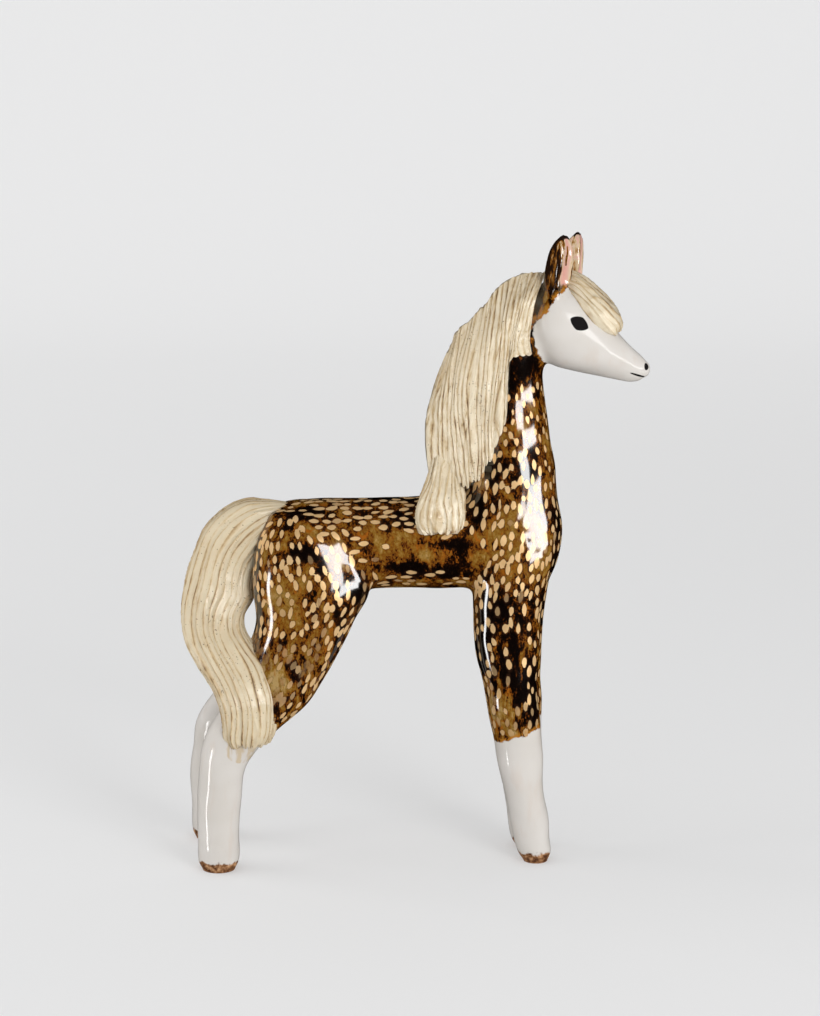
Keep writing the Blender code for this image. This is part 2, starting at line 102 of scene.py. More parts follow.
HIND_LEG = [
    (-53.5, 139.5, -31.0, 141.0, -8.0, 8.5),
    (-58.0, 132.2, -21.4, 134.2, -9.4, 11.6),
    (-59.4, 122.6, -16.4, 123.4, -10.8, 12.9),
    (-59.6, 110.8, -14.2, 110.0, -12.0, 12.9),
    (-59.2, 98.9, -20.2, 98.9, -13.2, 12.3),
    (-61.0, 87.1, -25.8, 87.9, -14.4, 11.3),
    (-65.8, 75.2, -32.2, 76.8, -15.6, 10.2),
    (-72.0, 65.8, -39.0, 66.6, -16.8, 9.3),
    (-77.6, 57.5, -49.6, 57.1, -17.9, 8.6),
    (-80.4, 49.1, -58.9, 48.3, -18.7, 8.2),
    (-81.5, 39.5, -63.3, 40.3, -19.3, 8.0),
    (-82.2, 27.3, -65.2, 27.3, -19.8, 8.0),
    (-82.5, 13.8, -65.9, 13.8, -20.2, 8.0),
    (-82.1, 4.3, -66.2, 4.3, -20.5, 7.6),
    (-80.6, 0.6, -67.5, 0.6, -20.5, 6.3),
    (-79.8, -2.0, -68.3, -2.0, -20.5, 5.4),
]
FORE_LEG = [
    (31.1, 138.7, 55.1, 138.7, -6.8, 9.0),
    (28.0, 124.9, 57.8, 124.9, -8.2, 10.3),
    (26.5, 110.9, 55.4, 111.7, -8.9, 10.2),
    (27.1, 98.8, 53.8, 99.6, -9.2, 9.6),
    (28.5, 85.8, 52.9, 86.7, -9.3, 9.1),
    (30.8, 72.8, 52.6, 73.6, -9.4, 8.8),
    (33.2, 60.5, 53.3, 61.3, -9.4, 8.5),
    (35.7, 49.0, 54.2, 49.4, -9.4, 8.2),
    (38.4, 35.3, 55.4, 36.2, -9.5, 7.8),
    (41.3, 21.6, 56.5, 22.5, -9.5, 7.5),
    (43.8, 9.1, 58.0, 9.9, -9.5, 7.1),
    (45.6, 3.4, 58.6, 4.1, -9.5, 6.5),
    (47.4, 0.6, 57.4, 0.6, -9.5, 5.2),
    (48.2, -2.0, 56.6, -2.0, -9.5, 4.3),
]
EAR = [
    (-5.8, 0.0, 4.2, 1.0, 0.0, 4.9),
    (-5.5, 6.0, 4.8, 6.6, 0.0, 4.9),
    (-4.8, 12.0, 5.1, 12.2, 0.0, 4.6),
    (-3.2, 17.4, 5.1, 17.2, 0.0, 4.0),
    (-1.0, 21.6, 4.7, 21.2, 0.0, 3.1),
    (1.0, 24.0, 4.0, 23.6, 0.0, 2.0),
]
EAR_HOLLOW = 0.8                # how far the thumb pushed the ear's front in, of its depth
EARS = [                        # foot, lean forward, turn outward
    ((58.0, -7.6, 225.9), 0.05, 0.73),
    ((63.8, 6.6, 226.1), 0.05, 0.35),
]

# Where the white face begins, from the forelock round the ear and down to the throat (x, z)
CHEEK_LINE = [(77.8, 246.0), (63.8, 235.0), (57.9, 229.2), (54.0, 226.4), (52.2, 223.3),
              (51.2, 220.8), (49.0, 219.3), (46.9, 217.4), (46.0, 213.0), (47.0, 208.0),
              (50.2, 201.4), (54.5, 198.4), (62.0, 189.0)]
STOCKING_TOP = 51.5             # on the forelegs
HIND_STOCKING_TOP = 57.5        # on the near hind leg; the far one is white to the hock
FAR_STOCKING_TOP = 70.0

# Pools in the tortoiseshell glaze: x, z, reach in x, reach in z, darker (+) or honey (-)
GLAZE_POOLS = [
    (43.0, 201.0, 12.0, 7.0, 0.20), (36.5, 186.0, 3.6, 14.0, 0.18), (30.0, 162.0, 7.0, 6.0, 0.24),
    (25.0, 143.0, 5.0, 6.0, 0.30), (44.0, 158.0, 5.0, 6.0, 0.16), (-3.6, 121.6, 13.0, 2.4, 0.34),
    (11.0, 118.5, 10.0, 2.2, 0.26), (-2.4, 139.8, 9.0, 2.4, 0.30), (16.0, 131.0, 11.0, 2.2, 0.30),
    (38.0, 84.0, 4.4, 12.0, 0.38), (46.0, 71.0, 3.0, 14.0, 0.42), (27.5, 98.0, 2.6, 14.0, 0.30),
    (34.0, 106.0, 4.0, 7.0, 0.18), (-42.0, 128.5, 5.0, 3.2, 0.40), (-41.4, 141.7, 8.0, 2.4, 0.30),
    (-12.0, 147.5, 34.0, 2.4, 0.26), (-46.5, 83.0, 4.0, 4.5, 0.24), (-61.0, 106.0, 1.6, 24.0, 0.24),
    (57.5, 140.0, 2.6, 30.0, 0.22), (55.5, 230.5, 3.0, 2.6, 0.34), (47.5, 230.0, 2.4, 5.0, 0.40),
    (-22.0, 112.0, 5.0, 4.0, 0.26), (-30.0, 92.0, 3.0, 14.0, 0.14), (49.0, 102.0, 3.0, 10.0, 0.16),
    (-55.0, 78.0, 8.0, 9.0, -0.12), (-51.0, 106.0, 6.0, 14.0, -0.10), (-14.0, 131.0, 17.0, 3.4, -0.08),
    (50.6, 220.0, 2.0, 2.6, -0.16), (42.0, 55.0, 9.0, 2.6, -0.16), (-68.0, 60.0, 8.0, 4.0, -0.20),
    (40.0, 124.0, 6.0, 8.0, -0.06), (46.0, 178.0, 4.0, 8.0, -0.04),
]

DAB_LENGTH = 4.1                # one touch of a round brush
DAB_WIDTH = 1.9
DAB_PITCH = 4.8                 # from dab to dab along a row
ROW_PITCH = 2.5                 # from row to row
DAB_ROOM = 4.0, 2.05            # half sizes of the room that each keeps free
GAP_TRIES = 6000                # touches that look for a gap at the end
BELLY_ROWS_TOP = 137.0          # below it the barrel is dabbed after the legs


def smooth_rows(rows, stations):
    """Catmull-Rom curve through the rows of a table, read at even stations."""
    rows = np.asarray(rows, float)
    ends = np.vstack([2 * rows[0] - rows[1], rows, 2 * rows[-1] - rows[-2]])
    place = np.linspace(0, len(rows) - 1, stations)
    first = np.minimum(place.astype(int), len(rows) - 2)
    t = (place - first)[:, None]
    a, b, c, d = (ends[first + k] for k in range(4))
    return 0.5 * (2 * b + (c - a) * t + (2 * a - 5 * b + 4 * c - d) * t ** 2
                  + (3 * b - a - 3 * c + d) * t ** 3)


def section_rings(rows, stations, around):
    """Ellipses with the section's chord as one axis and its half width as the other:
    middle - chord * cos(turn) + half width * sin(turn)."""
    table = smooth_rows(rows, stations) * MM
    first = table[:, [0, 4, 1]]
    second = table[:, [2, 4, 3]]
    middle = (first + second) / 2
    chord = (second - first) / 2
    turn = np.arange(around) * 2 * np.pi / around
    return (middle[:, None] - chord[:, None] * np.cos(turn)[None, :, None]
            + table[:, None, 5:6] * np.array([0.0, 1.0, 0.0]) * np.sin(turn)[None, :, None])


def rounded_end(rings, depth, steps=8):
    """Rings that shrink by the cosine and advance by the sine of a quarter turn."""
    middle = rings[-1].mean(axis=0)
    before = rings[-2].mean(axis=0)
    onward = (middle - before) / np.linalg.norm(middle - before)
    angle = np.arange(1, steps + 1) * (np.pi / 2) / (steps + 0.4)
    tip = (middle + np.cos(angle)[:, None, None] * (rings[-1] - middle)
           + np.sin(angle)[:, None, None] * depth * onward)
    return np.concatenate([rings, tip])


def skin(rings):
    """Points and faces of a closed skin over a stack of rings, with a fan on each end."""
    count, around = rings.shape[:2]
    points = np.concatenate([rings.reshape(-1, 3),
                             [rings[0].mean(axis=0), rings[-1].mean(axis=0)]])
    ring, step = np.meshgrid(np.arange(count - 1), np.arange(around), indexing="ij")
    here = (ring * around + step).ravel()
    side = (ring * around + (step + 1) % around).ravel()
    faces = np.stack([here, side, side + around, here + around], 1).tolist()
    turn = np.arange(around)
    onward = (turn + 1) % around
    last = (count - 1) * around
    faces += np.stack([onward, turn, np.full(around, count * around)], 1).tolist()
    faces += np.stack([last + turn, last + onward,
                       np.full(around, count * around + 1)], 1).tolist()
    return points, faces


def mesh_piece(name, points, faces):
    """A new object at the origin over those points, with its faces turned outwards."""
    mesh = bpy.data.meshes.new(name)
    mesh.from_pydata(points.tolist(), [], faces)
    tidy = bmesh.new()
    tidy.from_mesh(mesh)
    bmesh.ops.recalc_face_normals(tidy, faces=tidy.faces)
    tidy.to_mesh(mesh)
    tidy.free()
    mesh.shade_smooth()
    piece = bpy.data.objects.new(name, mesh)
    bpy.context.scene.collection.objects.link(piece)
    return piece


def far_side(rows, shift):
    """The same roll on the other side of the body, moved along X by height."""
    table = np.array(rows, float)
    table[:, 4] *= -1
    for x, z in ((0, 1), (2, 3)):
        table[:, x] += shift(table[:, z])
    return table


def set_stance(rows, stance):
    """Spread a leg sideways so that its foot stands half the stance out."""
    table = np.array(rows, float)
    table[:, 4] *= (stance / 2) / abs(table[-1, 4])
    return table


def ear_rings(foot, lean, turn, stations=60, around=64):
    """A leaf whose front half is pushed in most at its middle, which leaves two rims,
    then turned about Z by the turn and sheared forward by the lean."""
    rings = rounded_end(section_rings(EAR, stations, around), 1.2 * MM)
    middle = rings.mean(axis=1, keepdims=True)
    out = rings - middle
    width = np.abs(out[..., 0]).max(axis=1)[:, None]
    front = np.clip(out[..., 0] / width, 0.0, 1.0)
    hollow = 1.0 - EAR_HOLLOW * front ** 1.5
    rim = (front * hollow).max(axis=1, keepdims=True)
    out[..., 0] *= np.where(front > 0, hollow / rim, 1.0)
    rings = middle + out
    cos, sin = np.cos(turn), np.sin(turn)
    x, y, z = rings[..., 0], rings[..., 1], rings[..., 2]
    x, y = x * cos + y * sin, y * cos - x * sin
    return np.stack([x + lean * z, y, z], -1) + np.asarray(foot) * MM


def mesh_points(mesh):
    flat = np.empty(len(mesh.vertices) * 3)
    mesh.vertices.foreach_get("co", flat)
    return flat.reshape(-1, 3)


def mesh_normals(mesh):
    flat = np.empty(len(mesh.vertices) * 3)
    mesh.vertex_normals.foreach_get("vector", flat)
    return flat.reshape(-1, 3)


def move_points(mesh, points):
    mesh.vertices.foreach_set("co", points.ravel())
    mesh.update()


def neighbour_pull(points, a, b, degree):
    """From each point to the middle of its neighbours."""
    middle = np.stack([np.bincount(a, points[b, k], len(points))
                       + np.bincount(b, points[a, k], len(points)) for k in range(3)], 1)
    return middle / degree[:, None] - points


def wipe_and_settle(mesh):
    """Fill the hollows along the joins, then take out the grain of the net.

    Wiping moves a point outwards to the middle of its neighbours where that lies
    outside the surface. Settling goes half way to the middle and then a little more
    than half way back, which flattens ripples and keeps the size."""
    points = mesh_points(mesh)
    pairs = np.empty(len(mesh.edges) * 2, int)
    mesh.edges.foreach_get("vertices", pairs)
    a, b = pairs.reshape(-1, 2).T
    degree = np.bincount(a, minlength=len(points)) + np.bincount(b, minlength=len(points))
    for _ in range(WIPING_PASSES):
        move_points(mesh, points)
        normal = mesh_normals(mesh)
        pull = neighbour_pull(points, a, b, degree)
        rise = (pull * normal).sum(axis=1, keepdims=True)
        points = points + 0.3 * (pull - rise * normal) + np.clip(rise, 0.0, None) * normal
    for _ in range(SETTLING_PASSES):
        points = points + 0.50 * neighbour_pull(points, a, b, degree)
        points = points - 0.53 * neighbour_pull(points, a, b, degree)
    move_points(mesh, points)


def press_unevenly(mesh):
    """Leave the unevenness of fingers: twelve sine waves in mixed directions, 9 to
    30 mm from crest to crest, along the normals. Longer waves are deeper."""
    rng = np.random.default_rng(7)
    points = mesh_points(mesh)
    swell = np.zeros(len(points))
    for wave in np.linspace(9.0, 30.0, 12) * MM:
        way = rng.normal(size=3)
        phase = points @ (way / np.linalg.norm(way)) * 2 * np.pi / wave
        swell += 0.0042 * wave * np.sin(phase + rng.uniform(0, 2 * np.pi))
    fade = np.clip(points[:, 2] / (8 * MM), 0, 1)
    move_points(mesh, points + mesh_normals(mesh) * (swell * fade)[:, None])


def cut_soles(mesh):
    """Cut everything below the ground off flat, and close the four soles."""
    cut = bmesh.new()
    cut.from_mesh(mesh)
    result = bmesh.ops.bisect_plane(cut, geom=list(cut.verts) + list(cut.edges) + list(cut.faces),
                                    plane_co=(0, 0, 0), plane_no=(0, 0, -1), clear_outer=True)
    rim = [item for item in result["geom_cut"] if isinstance(item, bmesh.types.BMEdge)]
    bmesh.ops.holes_fill(cut, edges=rim, sides=0)
    bmesh.ops.recalc_face_normals(cut, faces=cut.faces)
    cut.to_mesh(mesh)
    cut.free()
    mesh.shade_smooth()


def give_values(mesh, name, values):
    layer = mesh.attributes.new(name, "FLOAT", "POINT")
    layer.data.foreach_set("value", values.astype(np.float32))


def side_of_line(x, z, line):
    """Distance in mm to a polyline in the X-Z plane, positive on its left-hand side
    as seen going down it, which is the coat's side of the cheek line."""
    corners = np.asarray(line, float)
    nearest = np.full(len(x), 1e9)
    side = np.zeros(len(x))
    for (x0, z0), (x1, z1) in zip(corners[:-1], corners[1:]):
        run = np.array([x1 - x0, z1 - z0])
        share = np.clip(((x - x0) * run[0] + (z - z0) * run[1]) / (run @ run), 0, 1)
        gap_x = x - x0 - share * run[0]
        gap_z = z - z0 - share * run[1]
        gap = np.hypot(gap_x, gap_z)
        turn = run[0] * gap_z - run[1] * gap_x
        closer = gap < nearest - 1e-9
        nearest = np.where(closer, gap, nearest)
        side = np.where(closer, -np.sign(turn), side)
    return nearest * side


def dab_rows(rings, rng, keep):
    """Staggered dabs on a roll: rings half a pitch apart along it, each with dabs two
    rows apart around it by arc length, every other ring turned by one row. Returns
    places and the directions along the roll."""
    along = np.gradient(rings, axis=0)
    walk = np.linalg.norm(np.diff(rings.mean(axis=1), axis=0), axis=1)
    length = np.concatenate([[0], np.cumsum(walk)])
    places, ways = [], []
    for number, reach in enumerate(np.arange(0.0, length[-1], DAB_PITCH / 2 * MM)):
        station = np.searchsorted(length, reach + rng.normal(0, 0.35) * MM)
        station = int(station.clip(0, len(rings) - 1))
        ring = rings[station]
        steps = np.linalg.norm(np.roll(ring, -1, axis=0) - ring, axis=1)
        edge = np.concatenate([[0], np.cumsum(steps)])
        count = max(3, int(round(edge[-1] / (2 * ROW_PITCH * MM))))
        spots = ((np.arange(count) + 0.5 * (number % 2) + rng.normal(0, 0.07, count))
                 / count * edge[-1]) % edge[-1]
        index = np.searchsorted(edge, spots).clip(0, len(ring) - 1)
        places.append(ring[index])
        ways.append(along[station, index])
    places, ways = np.concatenate(places), np.concatenate(ways)
    chosen = keep(places / MM)
    return places[chosen], ways[chosen]


def brush_dabs(body, rolls, rng):
    """Put the dabs of each roll on the finished surface, drop those that other clay
    covers or that touch an earlier one, then fill the gaps the same way."""
    kept = []           # rows of place, long way, short way, half sizes, strength, taper

    def room_for(place, way, short, ease):
        if not kept:
            return True
        gap = place - np.array([dab[0] for dab in kept])
        beside = np.linalg.norm(gap, axis=1) < 1.5 * DAB_ROOM[0] * MM
        theirs = np.array([dab[1] for dab in kept]), np.array([dab[2] for dab in kept])
        for long_way, short_way in (theirs, (way, short)):
            u = (gap * long_way).sum(axis=1) / (DAB_ROOM[0] * MM * ease)
            v = (gap * short_way).sum(axis=1) / (DAB_ROOM[1] * MM * ease)
            if (beside & (u ** 2 + v ** 2 < 1)).any():
                return False
        return True

    def touch(place, way, ease=1.0, reach=1.6 * MM):
        found, spot, normal, _ = body.closest_point_on_mesh(place.tolist())
        spot, normal = np.array(spot), np.array(normal)
        if not found or np.linalg.norm(spot - place) > reach:
            return
        x, _, z = spot / MM
        if wanted(x, z, normal, rng):
            way = way - normal * (way @ normal)
            if np.linalg.norm(way) < 1e-9:
                return
            way = way / np.linalg.norm(way)
            sway = rng.normal(0, 0.13)
            cos, sin, short = np.cos(sway), np.sin(sway), np.cross(normal, way)
            way, short = way * cos + short * sin, short * cos - way * sin
            if room_for(spot, way, short, ease):
                size = np.clip(rng.normal(1, 0.15, 2), 0.6, 1.3)
                size = size * (1 - 0.24 * np.clip((z - 148) / 30, 0, 1))
                kept.append((spot, way, short, size[0] * DAB_LENGTH / 2 * MM,
                             size[1] * DAB_WIDTH / 2 * MM, dab_strength(x, z, rng),
                             rng.uniform(-0.28, 0.28)))

    for places, ways in rolls:
        for place, way in zip(places, ways):
            touch(place, way)
    points = mesh_points(body.data)
    for index in rng.integers(0, len(points), GAP_TRIES):
        place = points[index]
        nearest = np.argmin(((np.array([dab[0] for dab in kept]) - place) ** 2).sum(axis=1))
        touch(place, kept[nearest][1], ease=1.12)
    return kept


def wanted(x, z, normal, rng):
    """Bare places: the crown and face, the stockings and the flank below the back. The
    top of the neck, the belly, the back and the forelegs' fronts have fewer dabs."""
    if z > 194 or z < STOCKING_TOP + 1.0:                   # crown, face and stockings
        return False
    if z > 183 and rng.random() < 0.35:                     # top of the neck
        return False
    facing = abs(normal[1])
    if -19 < x < 26 and 120 < z < 136 and facing > 0.4:     # flank
        return rng.random() < 0.02
    if -24 < x < 26 and 105 < z <= 120:                     # belly
        return rng.random() < 0.5
    if -24 < x < 10 and z > 136:                            # back
        return rng.random() < 0.85
    if x > 20 and z < 104:                                  # forelegs
        return rng.random() < (0.34 if facing > 0.72 else 0.7)
    return True


def dab_strength(x, z, rng):
    """How thickly the gold lies: worn thin on the lower thigh and near the knees."""
    if x < -28 and z < 92:                                  # lower thigh, but not its front edge
        edge = x > -33 - (92 - z) * 0.72
        return 1.0 if edge else rng.uniform(0.05, 0.55)
    if x < -45 and z < 112:                                 # back of the thigh
        return rng.uniform(0.35, 1.0)
    if z < 66:                                              # knees
        return rng.uniform(0.3, 0.9)
    return 1.0 if rng.random() > 0.07 else rng.uniform(0.2, 0.6)


def dab_field(points, dabs):
    """For each point the smallest lens distance to a dab, 1 on its edge: the 1.75-norm
    of the offsets along and across it over its half sizes, fatter at one end."""
    nearest = np.full(len(points), 2.0)
    strength = np.zeros(len(points))
    for place, way, short, half_long, half_wide, gold, taper in dabs:
        gap = points - place
        close = (np.abs(gap) < 2.1 * half_long).all(axis=1)
        gap = gap[close]
        u = gap @ way / half_long
        v = gap @ short / (half_wide * (1 + taper * np.clip(u, -1, 1)))
        distance = (np.abs(u) ** 1.75 + np.abs(v) ** 1.75) ** (1 / 1.75)
        index = np.flatnonzero(close)
        better = distance < nearest[index]
        nearest[index[better]] = distance[better]
        strength[index[better]] = gold
    return nearest, strength


def ear_values(points, rings_of_ears):
    """From the nearest point of each ear's rings: how far up the ear a point lies, and
    how far round from the middle of its hollow (0) to its back (1). The side towards
    the other ear stays as pale as the hollow's rim."""
    up = np.full(len(points), -1.0)
    round_back = np.ones(len(points))
    for rings in rings_of_ears:
        low, high = rings.min(axis=(0, 1)) - 0.8 * MM, rings.max(axis=(0, 1)) + 0.8 * MM
        near = np.flatnonzero(((points > low) & (points < high)).all(axis=1))
        flat = rings.reshape(-1, 3)
        around = rings.shape[1]
        for part in np.array_split(near, 12):
            gap = ((points[part, None] - flat[None]) ** 2).sum(axis=2)
            best = gap.argmin(axis=1)
            on_ear = gap[np.arange(len(part)), best] < (1.3 * MM) ** 2
            turn = (best % around) / around
            index = part[on_ear]
            up[index] = (best // around / rings.shape[0])[on_ear]
            middle = rings[:, :, 1].mean(axis=1)[best // around]
            inner = (points[part, 1] - middle) * middle < -(0.2 * MM) ** 2
            inner &= (turn > 0.06) & (turn < 0.94)
            turned = np.abs(1 - 2 * turn)
            round_back[index] = np.where(inner, np.minimum(turned, 0.215), turned)[on_ear]
    return up, round_back


def plug(made, inputs):
    """Give a node's inputs their values, or links where the value is a socket."""
    for name, value in dict(inputs).items():
        if isinstance(value, bpy.types.NodeSocket):
            made.id_data.links.new(value, made.inputs[name])
        else:
            made.inputs[name].default_value = value


def node(tree, kind, inputs=(), **settings):
    """A shader node with its settings and its inputs."""
    made = tree.nodes.new(kind)
    for name, value in settings.items():
        setattr(made, name, value)
    plug(made, inputs)
    return made


def sums(operation, *values):
    """One Math node's result, in the tree of the first value that is a socket."""
    tree = next(value for value in values if isinstance(value, bpy.types.NodeSocket)).id_data
    return node(tree, "ShaderNodeMath", dict(enumerate(values)), operation=operation).outputs[0]


def plus(first, second):
    return sums("ADD", first, second)


def times(first, second):
    return sums("MULTIPLY", first, second)


def larger(first, second):
    return sums("MAXIMUM", first, second)


def swing(value, reach):
    """A noise turned into a shift both ways: (value - 0.5) * reach."""
    return times(sums("SUBTRACT", value, 0.5), reach)


def ramp(value, stops):
    """A colour ramp over the value, from (position, colour) stops."""
    made = node(value.id_data, "ShaderNodeValToRGB", {0: value})
    band = made.color_ramp
    while len(band.elements) < len(stops):
        band.elements.new(1.0)
    for element, (position, colour) in zip(band.elements, stops):
        element.position = position
        element.color = (*colour, 1.0)
    return made.outputs["Color"]


def blend(share, first, second):
    """The first colour where the share is 0 and the second where it is 1."""
    made = node(share.id_data, "ShaderNodeMix", {"Factor": share}, data_type="RGBA")
    for name, colour in (("A", first), ("B", second)):
        socket = next(s for s in made.inputs if s.name == name and s.type == "RGBA")
        if isinstance(colour, bpy.types.NodeSocket):
            made.id_data.links.new(colour, socket)
        else:
            socket.default_value = (*colour, 1.0)
    return next(s for s in made.outputs if s.type == "RGBA")


def step(value, low, high):
    """0 below low, 1 above high, smooth between. It falls where low is above high."""
    return node(value.id_data, "ShaderNodeMapRange",
                {"Value": value, "From Min": low, "From Max": high},
                interpolation_type="SMOOTHSTEP").outputs[0]


def noise(place, scale, detail=3.0, rough=0.55, warp=0.0):
    return node(place.id_data, "ShaderNodeTexNoise",
                {"Vector": place, "Scale": scale, "Detail": detail,
                 "Roughness": rough, "Distortion": warp}).outputs[0]


def run_down(place, share):
    """The place with its heights pressed together, so that a pattern runs downwards."""
    return node(place.id_data, "ShaderNodeMapping",
                {"Vector": place, "Scale": (1.0, 1.0, share)}).outputs[0]


def attribute(tree, name):
    return node(tree, "ShaderNodeAttribute", attribute_name=name).outputs["Fac"]


def new_material(name):
    """A node material, its tree and its Principled shader."""
    material = bpy.data.materials.new(name)
    material.use_nodes = True
    return material, material.node_tree, material.node_tree.nodes["Principled BSDF"]


def new_group(name, ins, out, kind):
    """An empty shader node group with those inputs and one output, and its two ends."""
    group = bpy.data.node_groups.new(name, "ShaderNodeTree")
    for label, sort in ins.items():
        group.interface.new_socket(label, in_out="INPUT", socket_type="NodeSocket" + sort)
    group.interface.new_socket(out, in_out="OUTPUT", socket_type="NodeSocket" + kind)
    return group, group.nodes.new("NodeGroupInput").outputs, group.nodes.new("NodeGroupOutput")


def use_group(group, place, **inputs):
    return node(place.id_data, "ShaderNodeGroup", {"Place": place, **inputs},
                node_tree=group).outputs[0]


def specks_group():
    """Small iron specks fired out of the clay: the rare peaks of one fine noise where
    a slower noise allows them."""
    group, given, leave = new_group(
        "iron specks", {"Place": "Vector", "Size": "Float", "Amount": "Float"}, "Mask", "Float")
    fine = noise(given["Place"], given["Size"], detail=1.0)
    slow = noise(given["Place"], 60.0, detail=1.0)
    edge = sums("SUBTRACT", 0.98, given["Amount"])
    mask = node(group, "ShaderNodeMapRange",
                {"Value": plus(fine, times(slow, 0.30)), "From Min": edge,
                 "From Max": plus(edge, 0.05)})
    plug(leave, {"Mask": mask.outputs[0]})
    return group


def ripple_group():
    """The slight waviness of a fired glaze, as a normal from three noises: wide
    presses, waves and a fine grain."""
    group, given, leave = new_group(
        "glaze ripple", {"Place": "Vector", "Height": "Float"}, "Normal", "Vector")
    waves = noise(given["Place"], 130.0, detail=1.0)
    presses = times(noise(given["Place"], 52.0, detail=0.0), 8.0)
    grain = times(noise(given["Place"], 520.0, detail=2.0), 0.16)
    level = times(plus(plus(waves, presses), grain), given["Height"])
    bump = node(group, "ShaderNodeBump", {"Height": level, "Strength": 1.0, "Distance": 1.0})
    plug(leave, {"Normal": bump.outputs[0]})
    return group


SPECKS = specks_group()
RIPPLE = ripple_group()


def painted_spot(place, middle, size, tilt, power):
    """A brushed spot round a point: the offset turned by the tilt about Y and divided
    by the half sizes, with a power below 2 giving it corners. 1 inside, 0 outside."""
    local = node(place.id_data, "ShaderNodeMapping",
                 {"Vector": place, "Location": [v * MM for v in middle],
                  "Rotation": (0.0, tilt, 0.0), "Scale": [v * MM for v in size]},
                 vector_type="TEXTURE")
    parts = node(place.id_data, "ShaderNodeSeparateXYZ", {0: local.outputs[0]})
    total = 0.0
    for part in parts.outputs:
        total = plus(total, sums("POWER", sums("ABSOLUTE", part), power))
    return step(total, 1.06, 0.94)


def coat_material():
    """Tortoiseshell glaze with gold, white glaze on the face and stockings, painted
    eyes, nostrils, mouth and ears, and bare bronze-washed soles."""
    material, tree, shader = new_material("tortoiseshell and white glaze")
    place = node(tree, "ShaderNodeTexCoord").outputs["Object"]
    x, y, z = node(tree, "ShaderNodeSeparateXYZ", {0: place}).outputs

    # The tortoiseshell: pools of black, amber and honey that ran a little downwards,
    # and in streaks behind the ears and down the legs
    run, drip = run_down(place, 0.62), run_down(place, 0.22)
    mottle = noise(run, 340.0, detail=5.0, rough=0.72, warp=0.5)
    level = plus(noise(run, 95.0, detail=4.0, rough=0.62, warp=0.5), swing(mottle, 0.80))
    level = plus(level, swing(noise(run, 1150.0, detail=3.0, rough=0.7, warp=0.6), 0.55))
    level = sums("SUBTRACT", level, attribute(tree, "pooling"))
    streaks = swing(noise(drip, 480.0, detail=3.0, rough=0.6, warp=0.3), 1.1)
    runny = plus(step(z, 0.205, 0.212), step(z, 0.100, 0.085))
    level = plus(level, times(streaks, runny))
    coat = ramp(level, [
        (0.33, (0.0030, 0.0014, 0.0010)), (0.40, (0.009, 0.0032, 0.0012)),
        (0.44, (0.052, 0.012, 0.0016)), (0.475, (0.125, 0.034, 0.003)),
        (0.53, (0.170, 0.062, 0.005)), (0.60, (0.205, 0.096, 0.012)),
        (0.70, (0.265, 0.148, 0.030)), (0.88, (0.37, 0.245, 0.092))])
    amber_run = step(noise(run, 210.0, detail=4.0, rough=0.65, warp=0.8), 0.55, 0.68)
    coat = blend(times(amber_run, step(level, 0.40, 0.50)), coat, (0.29, 0.085, 0.006))
    flecks = step(noise(place, 900.0, detail=2.0, warp=0.5), 0.63, 0.69)
    coat = blend(times(flecks, 0.6), coat, (0.022, 0.010, 0.004))

    # The gold dabs, thin and olive where the brush was dry, each with a dark rim
    dab = attribute(tree, "dab")
    ragged = swing(noise(place, 900.0, detail=2.0), 0.34)
    gold = times(step(plus(dab, ragged), 1.05, 0.95), attribute(tree, "gold"))
    coat = blend(times(step(dab, 1.55, 1.12), 0.30), coat, (0.060, 0.022, 0.010))
    gilt = ramp(noise(place, 260.0, detail=2.0), [
        (0.30, (0.78, 0.50, 0.23)), (0.70, (0.90, 0.61, 0.31))])
    colour = blend(gold, coat, gilt)

    # White glaze on the face and the stockings, with an amber edge where the two ran
    edge = plus(attribute(tree, "coat_side"),
                swing(noise(place, 330.0, detail=4.0, rough=0.65), 3.6))
    amber = times(step(edge, 2.5, 0.5), attribute(tree, "amber_edge"))
    amber = times(amber, step(mottle, 0.42, 0.57))
    colour = blend(times(amber, 0.9), colour, (0.40, 0.155, 0.016))
    white = step(edge, 0.35, -0.25)
    cloud = ramp(noise(place, 45.0, detail=2.0), [
        (0.35, (0.56, 0.527, 0.485)), (0.65, (0.605, 0.575, 0.540))])
    stains = step(noise(drip, 230.0), 0.52, 0.72)
    cloud = blend(times(stains, 0.30), cloud, (0.56, 0.47, 0.40))
    slip = painted_spot(place, (-65.5, -29.0, 50.0), (9.0, 12.0, 6.5), 0.15, 2.0)
    slip = times(slip, step(noise(drip, 420.0), 0.42, 0.56))    # it ran from the tail's tip
    cloud = blend(times(slip, 0.85), cloud, (0.50, 0.40, 0.27))
    specks = use_group(SPECKS, place, Size=1500.0, Amount=0.04)
    cloud = blend(times(specks, 0.35), cloud, (0.30, 0.22, 0.15))
    colour = blend(white, colour, cloud)
    gold = times(gold, sums("SUBTRACT", 1.0, white))

    # The ears: pink hollow, amber sides, black back edge and tip
    up, back = attribute(tree, "ear_up"), attribute(tree, "ear_back")
    shift = times(swing(noise(drip, 520.0, detail=4.0, rough=0.65), 1.7), step(back, 0.12, 0.30))
    up_now = plus(up, times(shift, 0.5))
    ear = ramp(plus(back, shift), [
        (0.0, (0.64, 0.31, 0.26)), (0.13, (0.62, 0.36, 0.29)), (0.19, (0.60, 0.47, 0.33)),
        (0.25, (0.52, 0.37, 0.20)), (0.31, (0.26, 0.105, 0.012)), (0.40, (0.11, 0.036, 0.004)),
        (0.49, (0.014, 0.006, 0.003))])
    ear = blend(step(up_now, 0.82, 0.87), ear, (0.014, 0.007, 0.005))
    colour = blend(times(step(up, 0.02, 0.06), step(up_now, 0.10, 0.18)), colour, ear)

